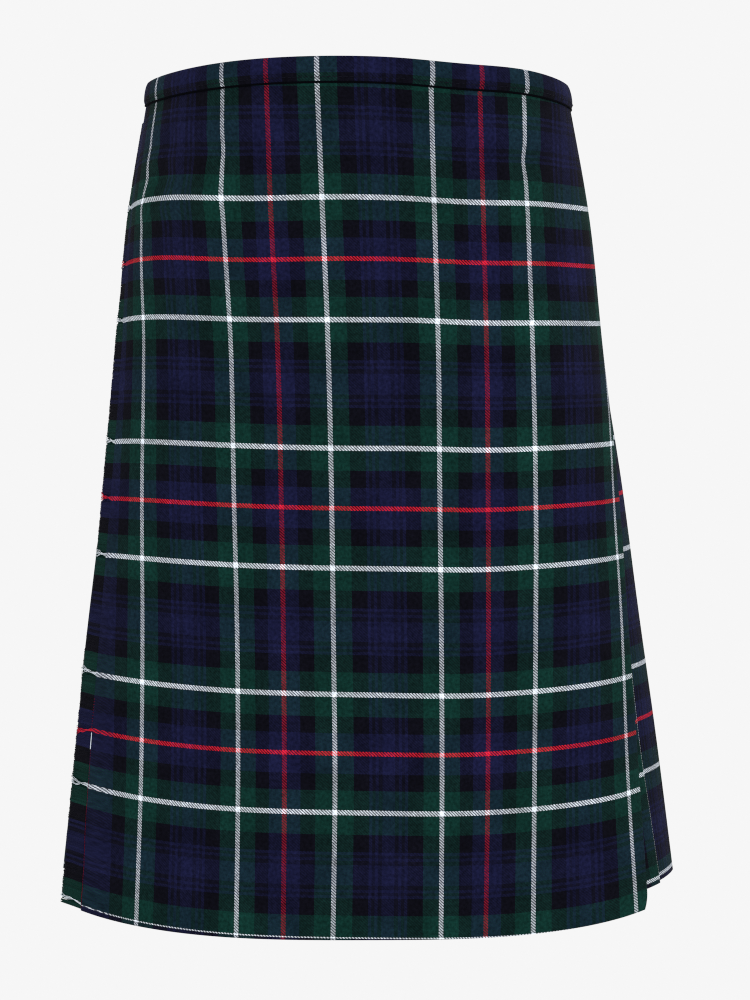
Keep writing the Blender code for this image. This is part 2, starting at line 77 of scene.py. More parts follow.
SECTION_COLUMNS = (
    "z centre_x half_width front front_power back back_power cut_edge fold_edge first_reveal"
).split()
SECTIONS = (
    (0, 0.0013, 0.1470, 0.1280, 2.05, 0.0980, 2.00, -0.2000, 0.2130, 0.0040),
    (-0.1, 0.0018, 0.1638, 0.1220, 2.10, 0.1180, 2.00, -0.1990, 0.2150, 0.0040),
    (-0.2, 0.0012, 0.1753, 0.1200, 2.20, 0.1380, 2.05, -0.1900, 0.2160, 0.0040),
    (-0.3, 0.0023, 0.1879, 0.1200, 2.30, 0.1500, 2.10, -0.1920, 0.2135, 0.0040),
    (-0.4, 0.0030, 0.1993, 0.1210, 2.45, 0.1630, 2.10, -0.1972, 0.2095, 0.0040),
    (-0.5, 0.0045, 0.2112, 0.1230, 2.65, 0.1780, 2.15, -0.2040, 0.2070, 0.0050),
    (-0.6105, 0.0055, 0.2235, 0.1250, 2.90, 0.1930, 2.20, -0.2078, 0.2085, 0.0160),
)

WALL = 0.0012
GAP = 0.0003
PITCH = 0.00165
PLEATS = 18
LEFT_PLEATS = 9
UNDERLAP = 0.8
PLEAT_END = 0.025
APRON_LIFT = 0.0060
UNDER_INSET = 0.0085
UNDER_CLEAR = 0.008
BAND_HEIGHT = 0.017
BAND_WALL = 0.0012
BAND_GAP = 0.0005
CLOTH_TOP = BAND_WALL + GAP + WALL / 2

# -------- the tartan's weaving
# Threads of each colour from a red pivot to a blue one, and what one thread takes up.
WEFT_THREADS = "R3 B17 K18 G21 L6 G21 K20 B4 N4 B4 N5 B8"
WARP_THREADS = "S3 B25 K23 G27 W7 G27 K24 B4 N4 B4 N5 B15"
WEFT_PITCH = 0.0005447
WARP_PITCH = 0.0005033
WEFT_HALF = 131  # threads from a red pivot to a blue one
WARP_HALF = 168
WARP_LIGHT = 3 + 25 + 23 + 27 + 7 / 2  # threads from a red pivot to a light line's middle
SHOW_THROUGH = 0.10  # of the thread beneath, past the fuzz of the one on top
DARK = 0.04  # the grey that parts the dark wools from the light ones
DARK_SHOW_THROUGH = 0.33  # where both threads are dark, and the nap joins them
UNEVEN = ((2600.0, 0.54), (420.0, 1.4), (36.0, 0.8))  # patches a metre, and how strong
THREAD_TINT = 0.22  # how far one thread's lightness differs from another's
LIGHT_ON_LIGHT = 0.42  # painted light: brighter by this where no dark thread shades the light ones
WOOL = {
    "R": (0.215, 0.0065, 0.0250),
    "S": (0.615, 0.0130, 0.0340),  # the redder lines' yarn in the warp
    "B": (0.0078, 0.0088, 0.037),
    "K": (0.0031, 0.0030, 0.0064),
    "N": (0.0046, 0.0046, 0.0140),  # the narrow black lines, fuzzed over by the blue
    "G": (0.0036, 0.0275, 0.0215),
    "W": (0.71, 0.77, 0.83),
    "L": (0.50, 0.54, 0.59),  # the light lines' yarn in the weft
}
SELVEDGE = (0.0060, 0.0065, 0.0200)
SELVEDGE_FROM = 0.4600  # down the cloth from its uppermost red line
HEM_LINE = (0.4661, 0.4670)  # the white line there, on the apron
PLEAT_HEM_LINE = (0.4600, 0.4628)

# Where threads that run down the apron lie at the sections' heights: each one's number,
# counted from the centre thread, and its stations in millimetres. Numbers 69, 193 and 331
# are the light lines on both sides, 131 the red ones, 262 the middle of a blue stripe,
# -373 the edge of a black one and CUT_THREAD the cut edge.
CUT_THREAD = -387
UPRIGHTS = (
    (-373, (-191.5, -193.5, -183, -181.5, -180.5, -180.5, -183)),
    (-331, (-168.5, -174.5, -162, -159.5, -157, -158, -162)),
    (-193, (-98.5, -97, -90, -89, -87.5, -88.5, -91)),
    (-131, (-65.5, -62.5, -57, -56, -55.5, -56.5, -58.5)),
    (-69, (-30.5, -27, -22.5, -21.5, -21, -21.5, -24)),
    (69, (47, 49.5, 53, 53, 53.5, 52.5, 51)),
    (131, (83, 85, 87.5, 87, 86.5, 84.5, 82)),
    (193, (122, 120, 122.5, 122.5, 121, 118, 115.5)),
    (262, (175.5, 164, 166.5, 162, 160, 155, 154)),
    (331, (234, 223, 217, 201.5, 199, 193.5, 196)),
)
# How its level threads lie: the uppermost red line's depth, how far the cloth is drawn up
# at the waist, how the threads turn and bow there, their tilt all the way down, and how
# they droop at the cut edge. The last four are measured QUARTER from the centre front.
QUARTER = 0.2
FIRST_RED = 0.1425
DRAWN_UP = 0.0099
WAIST_TURN = -0.0030
WAIST_BOW = 0.0098
TILT = -0.0025
CUT_DROOP = -0.0110
# Where the cloth is pulled aside near the waist, and where its level threads sag or are
# pulled up: station and height of the middle, how far the pull reaches along and down,
# and by how much, in millimetres.
PULLS = (
    (-158, -52, 24, 8, -1.8),
    (-158, -75, 24, 8, -3.8),
    (-158, -97, 24, 9, 4.0),
    (-112, -62, 20, 10, -2.0),
    (-112, -93, 20, 10, 1.6),
    (126, -66, 20, 9, 2.1),
)
LEVEL_PULLS = (
    (-85, -110, 55, 85, -3.0),
    (50, -220, 40, 130, 1.8),
)
FIRST_PLEAT_THREAD = 0.2479  # across the cloth at the first pleat's fold edge
SECOND_PLEAT_THREAD = 0.3073
PLEAT_THREAD_STEP = 2 * WEFT_HALF * WEFT_PITCH / 3
# How much higher than the apron's the pleats' lines lie, by depth below the waist, and
# how far the first pleat's fold edge has slipped out from behind the apron's.
PLEAT_STEPS = ((0, 0.0020), (0.42, 0.0030), (DROP, 0.0139))
FIRST_SLIPS = ((0, 0), (0.38, 0), (0.43, 0.0015), (0.5, 0.0045), (0.54, 0.0065), (DROP, 0.0065))


# -------- garment coordinates
def column(name):
    return np.array([row[SECTION_COLUMNS.index(name)] for row in SECTIONS])


def hermite(t, step, first, last, slope, last_slope):
    """A smooth curve from first to last over a step, read at its share t."""
    curve = (1 + 2 * t) * (1 - t) ** 2 * first + t * (1 - t) ** 2 * step * slope
    return curve + t**2 * (3 - 2 * t) * last + t**2 * (t - 1) * step * last_slope


def smooth_curve(values, z):
    """A smooth curve through values given at the sections' heights, read at z."""
    depths, values = -column("z"), np.asarray(values, float)
    slopes = np.gradient(values, depths)
    at = np.clip(-np.asarray(z, float), depths[0], depths[-1])
    k = np.clip(np.searchsorted(depths, at, side="right") - 1, 0, len(depths) - 2)
    step = depths[k + 1] - depths[k]
    t = (at - depths[k]) / step
    return hermite(t, step, values[k], values[k + 1], slopes[k], slopes[k + 1])


def size_at(name, z):
    return smooth_curve(column(name), z)


class Form:
    """Horizontal sections at close heights, each measured by its own length."""

    rows = 150
    steps = 1440

    def __init__(self):
        self.heights = -np.linspace(0, DROP, self.rows)
        self.girths = np.empty(self.rows)
        self.table = np.empty((self.rows, self.steps + 1, 6))
        for row, z in enumerate(self.heights):
            self.girths[row], self.table[row] = self.measure(z)

    def measure(self, z):
        wide, shift = size_at("half_width", z), size_at("centre_x", z)
        turn = np.linspace(0, 2 * math.pi, self.steps + 1)
        sine, cosine = np.sin(turn), np.cos(turn)
        behind = cosine < 0
        depth = np.where(behind, size_at("back", z), size_at("front", z))
        power = np.where(behind, size_at("back_power", z), size_at("front_power", z))
        x = wide * np.sign(sine) * np.abs(sine) ** (2 / power)
        y = -depth * np.sign(cosine) * np.abs(cosine) ** (2 / power)
        lengths = np.concatenate([[0], np.cumsum(np.hypot(np.diff(x), np.diff(y)))])
        normal_x = np.sign(x) * np.abs(x / wide) ** (power - 1) / wide
        normal_y = np.sign(y) * np.abs(y / depth) ** (power - 1) / depth
        size = np.hypot(normal_x, normal_y)
        side = np.sign(x) * np.abs(x / wide) ** RISE_POWER
        girth = lengths[-1]
        from_sag = (lengths - SAG_AT + girth / 2) % girth - girth / 2
        lower = WAIST_DIP * np.abs(side) + WAIST_TILT * side
        lower += WAIST_SAG * np.exp(-((from_sag / SAG_WIDTH) ** 2))
        higher = HEM_RISE * np.abs(side) + HEM_TILT * side
        even = np.linspace(0, girth, self.steps + 1)
        kept = (x + shift, y, normal_x / size, normal_y / size, lower, higher)
        return girth, np.stack([np.interp(even, lengths, k) for k in kept], 1)

    def girth(self, z):
        return np.interp(-np.asarray(z), -self.heights, self.girths)

    def world(self, z, s, out):
        """World points of garment coordinates, with the waist's dip and hem's rise."""
        z, s, out = np.broadcast_arrays(*(np.asarray(a, float) for a in (z, s, out)))
        place = np.clip(-z / DROP, 0, 1) * (self.rows - 1)
        low = np.minimum(place.astype(int), self.rows - 2)
        part = place - low
        found = 0
        for row, weight in ((low, 1 - part), (low + 1, part)):
            at = (s / self.girths[row]) % 1 * self.steps
            k = np.minimum(at.astype(int), self.steps - 1)
            t = (at - k)[..., None]
            here = self.table[row, k] * (1 - t) + self.table[row, k + 1] * t
            found = found + weight[..., None] * here
        x, y, normal_x, normal_y, lower, higher = np.moveaxis(found, -1, 0)
        size = np.hypot(normal_x, normal_y)
        down = np.clip(-z / DROP, 0, 1)
        up = z - lower * (1 - down) + higher * down
        return np.stack([x + out * normal_x / size, y + out * normal_y / size, up], -1)


FORM = Form()


# -------- stations
def reveal(z):
    """The visible width of each pleat after the first."""
    free = FORM.girth(z) + size_at("cut_edge", z) + PLEAT_END - size_at("fold_edge", z)
    return (free - size_at("first_reveal", z)) / (PLEATS - 1)


def pleat_drift(z, pleat):
    """How far a pleat's fold edge wanders from its even place."""
    if pleat in (0, PLEATS):
        return 0.0 * z
    if pleat == 1:
        return np.interp(-z, *zip(*FIRST_SLIPS))
    down = -z / DROP
    sway, spread_out = math.sin(2.3 * pleat + 0.7), math.sin(1.1 * pleat + 2.0)
    return 0.0016 * sway * np.sin(3.6 * down + pleat) * down + 0.0014 * spread_out * down**2


def fold_at(z, pleat):
    """The fold edge of a pleat; number 0 is the over apron's folded edge."""
    if pleat == 0:
        return size_at("fold_edge", z)
    first = size_at("fold_edge", z) + size_at("first_reveal", z)
    return first + (pleat - 1) * reveal(z) + pleat_drift(z, pleat)


def shown(z, pleat):
    return fold_at(z, pleat) - fold_at(z, pleat - 1)


def apron_out(z, s):
    cut, fold = size_at("cut_edge", z), size_at("fold_edge", z)
    return APRON_LIFT * np.clip((fold - s) / (fold - cut), 0, 1)


def fold_out(z, pleat):
    """How far out a fold edge lies. The first pleat's, close to the apron's, is sunk."""
    return -2 * PITCH * (1 - shown(z, 1) / reveal(z)) if pleat == 1 else 0.0 * z


def face_out(z, pleat, back):
    """How far out a pleat's face lies, back metres behind its own fold edge. Past the
    fold edge before it, it lies under that pleat and the return of its fold."""
    if pleat == 0:
        return apron_out(z, size_at("fold_edge", z) - back)
    width = shown(z, pleat)
    edge, inner = fold_out(z, pleat), fold_out(z, pleat - 1) - 2 * PITCH
    near = edge + (inner - edge) * back / width
    if not np.any(back > width):
        return near
    return np.where(back > width, face_out(z, pleat - 1, back - width) - 2 * PITCH, near)


def under_end(z):
    """The station of the under apron's free edge, past a whole girth."""
    return FORM.girth(z) + size_at("fold_edge", z) - UNDERLAP * reveal(z) - UNDER_CLEAR


def under_out(z, s):
    start = size_at("cut_edge", z) + PLEAT_END
    share = (s - start) / (size_at("fold_edge", z) - start)
    return -2 * PITCH - (UNDER_INSET - 2 * PITCH) * share


# -------- the cloth's grain
def across_threads(z, s):
    """How far across the cloth a point lies, between the threads of UPRIGHTS."""
    z, s = np.broadcast_arrays(np.asarray(z, float), np.asarray(s, float))
    places = [size_at("cut_edge", z)]
    places += [smooth_curve(np.array(row) / 1000, z) for _, row in UPRIGHTS]
    places = np.stack(places)
    threads = np.array([CUT_THREAD] + [thread for thread, _ in UPRIGHTS]) * WEFT_PITCH
    after = np.minimum(np.arange(len(threads)) + 1, len(threads) - 1)
    before = np.maximum(np.arange(len(threads)) - 1, 0)
    rise = (threads[after] - threads[before]).reshape(-1, *[1] * z.ndim)
    slopes = rise / (places[after] - places[before])
    k = np.clip((places <= s).sum(0) - 1, 0, len(threads) - 2)

    def at(table, number):
        return np.take_along_axis(table, number[None], 0)[0]

    start, stop, slope, last = at(places, k), at(places, k + 1), at(slopes, k), at(slopes, k + 1)
    inside = np.clip(s, start, stop)
    step = stop - start
    across = hermite((inside - start) / step, step, threads[k], threads[k + 1], slope, last)
    return across + (s - inside) * np.where(s < start, slope, last)


def pulled(table, z, s):
    pull = 0
    for row in table:
        at, height, reach, drop, by = (value / 1000 for value in row)
        pull = pull + by * np.exp(-(((s - at) / reach) ** 2) - ((z - height) / drop) ** 2)
    return pull


def apron_cloth(z, s):
    """Where a point of the apron lies on its cloth: across it and down it, in metres."""
    across = across_threads(z, s) + pulled(PULLS, z, s)
    q, above = s / QUARTER, np.clip(1 + z / DROP, 0, 1)
    left = np.where(q < 0, q, 0) ** 6
    drawn = above**3 * (DRAWN_UP + WAIST_TURN * q + WAIST_BOW * q**2)
    down = -z - FIRST_RED + drawn + TILT * q + pulled(LEVEL_PULLS, z, s)
    return across, down + CUT_DROOP * above**1.2 * left


def pleat_down(z):
    _, down = apron_cloth(z, size_at("fold_edge", z))
    return down + np.interp(-z, *zip(*PLEAT_STEPS))


# -------- meshes
def wall_faces(rows, columns, keep=True):
    """Quads of a closed wall: an outer grid, an inner one whose numbers follow it, and the
    rims between them. There is a hole where keep is false."""
    at = np.arange(rows * columns).reshape(rows, columns)
    corners = np.stack([at[:-1, :-1], at[1:, :-1], at[1:, 1:], at[:-1, 1:]], -1)
    keep = np.broadcast_to(keep, corners.shape[:2])
    kept = np.pad(keep, 1)
    beside = (kept[1:-1, :-2], kept[2:, 1:-1], kept[1:-1, 2:], kept[:-2, 1:-1])
    faces = [corners[keep], corners[keep][:, ::-1] + at.size]
    for k, joined in enumerate(beside):
        here, there = corners[keep & ~joined][:, [k, (k + 1) % 4]].T
        faces.append(np.stack([there, here, here + at.size, there + at.size], 1))
    return np.vstack(faces)


def placed(name, data):
    thing = bpy.data.objects.new(name, data)
    bpy.context.scene.collection.objects.link(thing)
    return thing


def make_object(name, points, faces, material, cloth=None, sharp=40):
    """A mesh; cloth is (across, down) at each of its points."""
    faces = faces.tolist() if isinstance(faces, np.ndarray) else faces
    mesh = bpy.data.meshes.new(name)
    mesh.from_pydata(np.reshape(points, (-1, 3)).tolist(), [], faces)
    if cloth is not None:
        corners = np.empty(len(mesh.loops), dtype=np.int32)
        mesh.loops.foreach_get("vertex_index", corners)
        spots = np.reshape(cloth, (-1, 2))[corners]
        layer = mesh.uv_layers.new(name="cloth")
        layer.data.foreach_set("uv", spots.astype(np.float32).ravel())
    mesh.shade_smooth()
    if sharp:
        mesh.set_sharp_from_angle(angle=math.radians(sharp))
    mesh.materials.append(material)
    return placed(name, mesh)


def tubes(name, routes, radius, sides, material, cloth=None):
    """Round threads about many routes of equally many points, joined in one mesh."""
    along = np.gradient(routes, axis=1)
    along /= np.linalg.norm(along, axis=-1, keepdims=True)
    guide = np.array([0.12, 0.21, 0.97])
    side = np.cross(along, guide)
    side /= np.linalg.norm(side, axis=-1, keepdims=True)
    up = np.cross(side, along)
    angles = 2 * math.pi * np.arange(sides) / sides
    radius = np.broadcast_to(radius, routes.shape[:2])[..., None, None]
    ring = np.cos(angles)[:, None] * side[..., None, :] + np.sin(angles)[:, None] * up[..., None, :]
    points = routes[..., None, :] + radius * ring
    count, length = routes.shape[:2]
    at = np.arange(count * length * sides).reshape(count, length, sides)
    after = np.roll(at, -1, axis=2)
    walls = np.stack([at[:, :-1], after[:, :-1], after[:, 1:], at[:, 1:]], -1).reshape(-1, 4)
    faces = walls.tolist() + at[:, 0, ::-1].tolist() + at[:, -1].tolist()
    spots = None if cloth is None else np.repeat(cloth.reshape(-1, 2), sides, axis=0)
    return make_object(name, points, faces, material, spots, sharp=None)


def path_normals(s, out):
    """Unit normals, outwards, of paths in the plane of s and out."""
    along, up = np.gradient(s, axis=-1), np.gradient(out, axis=-1)
    size = np.maximum(np.hypot(along, up), 1e-9)
    return -up / size, along / size


def cloth_wall(name, z, s, out, cloth, material):
    """The closed wall about a grid of points; cloth is (across, down) at each."""
    z = np.broadcast_to(z, s.shape)
    sideways, outwards = path_normals(s, out)
    offsets = (WALL / 2, -WALL / 2)
    sides = [FORM.world(z, s + by * sideways, out + by * outwards) for by in offsets]
    cloth = np.stack(np.broadcast_arrays(*cloth), -1)
    return make_object(name, sides, wall_faces(*s.shape), material, [cloth, cloth])


# -------- soft creases
# Ridges, and troughs with a minus: the station of the middle at the top and the bottom,
# the height of the top and the bottom, the width, and the rise, in millimetres.
APRON_CREASES = (
    (-120, -150, -25, -210, 26, -1.3),
    (-86, -112, -20, -150, 20, 1.0),
    (-30, -42, -60, -330, 34, 0.9),
    (22, 10, -30, -170, 24, -1.0),
    (70, 84, -25, -230, 28, -1.1),
    (118, 134, -40, -300, 30, 0.9),
    (160, 166, -30, -180, 22, -1.2),
    (-168, -176, -230, -560, 30, 0.8),
    (-60, -40, -300, -617, 40, -0.9),
    (40, 52, -380, -617, 44, 0.8),
    (120, 112, -340, -617, 36, -0.9),
    (178, 182, -420, -617, 24, 0.7),
    (-142, -162, -30, -112, 9, -1.5),
    (-118, -110, -38, -120, 10, 1.3),
    (128, 116, -34, -104, 9, -1.2),
)
PLEAT_CREASES = (
    (330, 350, -190, -470, 26, 0.9),
    (392, 380, -150, -420, 22, -0.8),
    (455, 470, -300, -603, 30, 0.9),
    (520, 500, -120, -390, 24, -0.9),
    (560, 590, -260, -603, 34, 0.8),
    (640, 660, -180, -440, 26, -0.8),
    (700, 735, -240, -603, 30, 1.0),
    (780, 800, -200, -430, 24, -0.7),
    (850, 880, -280, -603, 32, 0.9),
    (300, 318, -360, -603, 24, -0.7),
)
UNDER_CREASES = (
    (-110, -125, -60, -400, 30, 0.9),
    (-40, -30, -120, -560, 34, -0.9),
    (30, 44, -50, -330, 26, 0.8),
    (105, 96, -200, -603, 32, -0.8),
    (150, 158, -80, -420, 22, 0.7),
)


def creases(table, z, s):
    """How far soft folds lift the cloth, in metres."""
    lift = 0
    for row in table:
        s_top, s_low, z_top, z_low, width, rise = (value / 1000 for value in row)
        part = np.clip((z - z_top) / (z_low - z_top), 0, 1)
        middle = s_top + (s_low - s_top) * part
        fade = np.sin(math.pi * part) ** 0.8
        lift = lift + rise * fade * np.exp(-(((s - middle) / width) ** 2))
    return lift


# -------- over apron
TURN_POINTS = 5
CORNER = 0.0035  # how far the fold edge turns in at the hem
CORNER_HEIGHT = 0.012
CREASE_FADE = 0.02  # how far from the fold edge the apron's creases fade away


def fold_turn(edge_s, edge_out, way=1):
    """The round of a fold of radius PITCH / 2 that ends a face at edge_s: stations and
    outs, a column for each point."""
    radius = PITCH / 2
    angles = np.radians(np.linspace(90, -90, TURN_POINTS + 2)[1:-1])
    s = edge_s[:, None] + way * radius * np.cos(angles)
    out = edge_out[:, None] - radius + radius * np.sin(angles)
    return s, out


def levels(low, count):
    return np.linspace(-CLOTH_TOP, low, count)


def spread(start, stop, share):
    """Stations from start to stop, a row for each height."""
    return start[:, None] + (stop - start)[:, None] * np.asarray(share)


def over_apron(material, rows=180, columns=120):
    z = levels(-DROP, rows)
    row, cut, width = z[:, None], size_at("cut_edge", z), reveal(z)
    turned_in = np.clip(1 - (DROP + z) / CORNER_HEIGHT, 0, 1) ** 2
    fold = size_at("fold_edge", z) - CORNER * turned_in
    face = spread(cut, fold - PITCH / 2, np.linspace(0, 1, columns))
    front = apron_out(row, face)
    turn, turn_out = fold_turn(face[:, -1], front[:, -1])
    back = spread(fold - PITCH / 2, fold - UNDERLAP * width, np.linspace(0, 1, 7)[1:])
    back_out = apron_out(row, back) - PITCH
    s, out = np.hstack([face, turn, back]), np.hstack([front, turn_out, back_out])
    edge = fold[:, None]
    lift = creases(APRON_CREASES, row, np.minimum(s, edge))
    out = out + lift * np.clip((edge - s) / CREASE_FADE, 0, 1)
    along = np.hstack([face, 2 * edge - np.hstack([turn, back])])
    along[:, columns : columns + TURN_POINTS] = edge + np.linspace(0, 0.001, TURN_POINTS)
    return cloth_wall("over_apron", row, s, out, apron_cloth(row, along), material)


# -------- pleats and under apron
def pleat_thread(z, pleat):
    """How far across the cloth a pleat's fold edge lies."""
    if pleat == 1:
        return FIRST_PLEAT_THREAD + 0.0010 * z / DROP
    return SECOND_PLEAT_THREAD + PLEAT_THREAD_STEP * (pleat - 2) + 0.0 * z


def pleat_sheet(z, pleat, last):
    """Stations, outs and cloth of one pleat, from its hidden inner fold to its fold edge
    and back to the next pleat's inner fold."""
    width, hidden, edge = shown(z, pleat), UNDERLAP * reveal(z), fold_at(z, pleat)
    tight = width + hidden - PITCH / 2
    start, row = 0 * width + PITCH / 2, z[:, None]
    near = spread(width, start, (0.12, 0.3, 0.5, 0.7, 0.85, 0.95, 1))
    backs = np.hstack([spread(tight, width, (0, 0.3, 0.6, 1)), near])
    out = face_out(row, pleat, backs)
    turn, turn_out = fold_turn(edge - PITCH / 2, out[:, -1])
    run = spread(start, hidden - PITCH / 2, (0, 0.3, 0.65, 1))
    run_out = face_out(row, pleat, run) - PITCH
    s = [edge[:, None] - backs, turn, edge[:, None] - run]
    outs = [out, turn_out, run_out]
    thread = pleat_thread(row, pleat)
    round_it = np.linspace(0, 0.001, TURN_POINTS) + 0 * turn
    across = [thread - backs, thread + round_it, thread + run]
    if pleat < last:
        inner, inner_out = fold_turn(s[-1][:, -1], run_out[:, -1], way=-1)
        s, outs = s + [inner], outs + [inner_out]
        across.append(across[-1][:, -1:] + round_it)
    return [np.hstack(part) for part in (s, outs, across)]


def pleats(name, first, last, material, rows=110):
    z = levels(PLEAT_LIFT - DROP, rows)
    parts = zip(*(pleat_sheet(z, pleat, last) for pleat in range(first, last + 1)))
    s, out, across = (np.hstack(part) for part in parts)
    out = out + creases(PLEAT_CREASES, z[:, None], s)
    down = pleat_down(z)[:, None]
    return cloth_wall(name, z[:, None], s, out, (across, down), material)


def under_apron(material, rows=90, columns=70):
    z = levels(PLEAT_LIFT - DROP, rows)
    row, first = z[:, None], fold_at(z, PLEATS)
    girth = FORM.girth(row)
    inner = first - UNDERLAP * reveal(z) + PITCH / 2
    hidden = spread(inner, first, np.linspace(0, 1, 4)[:-1])
    hidden_out = face_out(row, PLEATS, first[:, None] - hidden) - 2 * PITCH
    free = spread(first, under_end(z), np.linspace(0, 1, columns))
    s, out = np.hstack([hidden, free]), np.hstack([hidden_out, under_out(row, free - girth)])
    across = s - girth
    out = out + creases(UNDER_CREASES, row, across)
    return cloth_wall("under_apron", row, s, out, (across, pleat_down(row)), material)


# -------- waistbands
BAND_SHARE = 0.0163 / BAND_HEIGHT  # cloth that the band takes over its height
BAND_THREAD = 0.0033  # down the cloth from a red line to the band's top
BAND_SHIFT = 0.0008  # how far the apron's band is sewn on past its threads
BAND_PUFF = 0.0009  # its leg swells between the top and the stitches, down to PUFF_END,
PUFF_END = 0.86
BAND_TUCK = (0.0004, -0.0001, -0.0008)  # and is drawn in at its lower edge
BAND_CORNER = 0.0009
BAND_LEG = WALL / 2 + BAND_GAP + BAND_WALL / 2
SEWN_RISE = 0.0026  # the stitches' height over the band's lower edge
SEWN_PITCH = 0.0038
SEWN_STITCH = 0.0027
SEWN_SLANT = 0.0003


def band(name, stations, outside, inside, across, material):
    """An inverted channel over the cloth's top, its legs at outside and inside."""
    half = BAND_WALL / 2
    down = np.linspace(0, 1, 12)[1:]
    puff = BAND_PUFF * np.sin(math.pi * np.minimum(down / PUFF_END, 1)) ** 0.6
    puff[-3:] = BAND_TUCK
    drop = BAND_CORNER + down * (BAND_HEIGHT - BAND_CORNER)
    turn = np.radians(np.linspace(0, 90, 4))
    corner = [(BAND_CORNER * (1 - math.cos(a)), BAND_CORNER * (math.sin(a) - 1)) for a in turn]
    shell = [(outside + half + p, -d) for p, d in zip(puff[::-1], drop[::-1])]
    shell += [(outside + half - back, z) for back, z in corner]
    shell += [(inside - half + back, z) for back, z in reversed(corner)]
    shell += [(inside - half, -d) for d in drop[::2]]
    middle = len(shell) // 2 + 4
    hollow = [(outside - half, min(z, -BAND_WALL)) for _, z in shell[:middle]]
    hollow += [(inside + half, min(z, -BAND_WALL)) for _, z in shell[middle:]]
    sides = []
    for profile in (shell, hollow):
        z = np.array([at for _, at in profile])[:, None]
        out = np.stack([np.broadcast_to(o, outside.shape) for o, _ in profile])
        sides.append(FORM.world(z, stations(z[:, 0]), out))
    z = np.array([at for _, at in shell])[:, None]
    cloth = np.stack(np.broadcast_arrays(across, BAND_THREAD - z * BAND_SHARE), -1)
    faces = wall_faces(*cloth.shape[:2])[:, ::-1]
    return make_object(name, sides, faces, material, [cloth, cloth])


def sewn_band(node, stations, outside, inside, across, material):
    """A node's waistband, with the stitches through its outer leg near the lower edge and
    the near-black tube of painted shade in the ditch under it."""
    z = SEWN_RISE - BAND_HEIGHT
    row = stations(np.array([z]))[0]
    firsts = np.arange(row[0] + 0.002, row[-1] - 0.004, SEWN_PITCH)[:, None]
    part = np.linspace(0, 1, 5)[None, :]
    s = firsts + SEWN_STITCH * part
    out = np.interp(s, row, outside) + BAND_WALL / 2 + 0.0003 + 0.0003 * np.sin(math.pi * part)
    routes = FORM.world(z + SEWN_SLANT * part, s, out)
    sewn = tubes(f"sewn_{node}_band", routes, 0.0002, 5, BAND_SEWING)
    # Painted shade: a near-black tube lies in the groove under the band to darken it.
    s = np.linspace(row[0], row[-1], 240)[None]
    routes = FORM.world(-BAND_HEIGHT - 0.0006, s, np.interp(s, row, outside) - 0.0007)
    ditch = tubes(f"ditch_{node}_band", routes, 0.0008, 8, BAND_GROOVE_SHADE)
    return band(f"waistband_{node}", stations, outside, inside, across, material), (sewn, ditch)


def over_apron_band(material, columns=120):
    def stations(z):
        return spread(size_at("cut_edge", z), size_at("fold_edge", z), np.linspace(0, 1, columns))

    flat = stations(np.zeros(1))
    out = apron_out(0.0, flat[0])
    across = apron_cloth(0.0, flat)[0] - BAND_SHIFT
    return sewn_band("over_apron", stations, out + BAND_LEG, out - BAND_LEG, across, material)


def back_band(material, columns=170):
    past = PITCH / 2 + WALL / 2 + GAP

    def stations(z):
        start, stop = size_at("fold_edge", z) + past, fold_at(z, PLEATS) + past
        return spread(start, stop, np.linspace(0, 1, columns))

    top = np.zeros(1)
    flat = stations(top)
    folds = [fold_at(top, pleat)[0] for pleat in (2, 3)]
    hidden = reveal(top) * (1 + UNDERLAP)
    depths = [face_out(top, pleat, hidden)[0] for pleat in (3, 4)]
    inside = np.interp(flat[0], folds, depths) - BAND_LEG
    return sewn_band("back", stations, 0 * inside + BAND_LEG, inside, flat, material)


def under_apron_band(material, columns=110):
    def stations(z):
        start = fold_at(z, PLEATS) + PITCH / 2 + WALL / 2 + 3 * GAP
        return spread(start, under_end(z), np.linspace(0, 1, columns))

    flat = stations(np.zeros(1))
    out = under_out(0.0, flat[0] - FORM.girth(0.0))
    return sewn_band("under_apron", stations, out + BAND_LEG, out - BAND_LEG, flat, material)


# -------- fringe
FRINGE_TOP = -0.030
FRINGE_LENGTHS = ((0.03, 0.0115), (0.10, 0.0120), (0.127, 0.0108), (0.155, 0.0100))  # by depth
FRINGE_LENGTHS += ((0.19, 0.0136), (0.36, 0.0142), (0.44, 0.0192), (0.46, 0.0183), (DROP, 0.0220))
FRINGE_CURVE = 0.11  # radius of the form at the cut edge, which the threads leave straight
FRINGE_POINTS = 9
FRINGE_SIDES = 3
FRINGE_SEED = 7
THREAD_RADIUS = 0.00036
TUFT_THREADS = 5.0  # threads from a light stripe's middle that are drawn into its tuft
TUFT_LEANS = ((-DROP, 0.0030), (-0.522, 0.0006), (-0.481, -0.0036), (-0.441, 0.0012), (0, 0))


def from_stripe(down):
    """How many threads a fringe thread lies from the middle of the nearest light stripe."""
    thread = down / WARP_PITCH % (2 * WARP_HALF)
    middles = np.array([0, WARP_LIGHT, 2 * WARP_HALF - WARP_LIGHT, 2 * WARP_HALF])
    away = thread[:, None] - middles
    return away[np.arange(len(thread)), np.abs(away).argmin(1)]


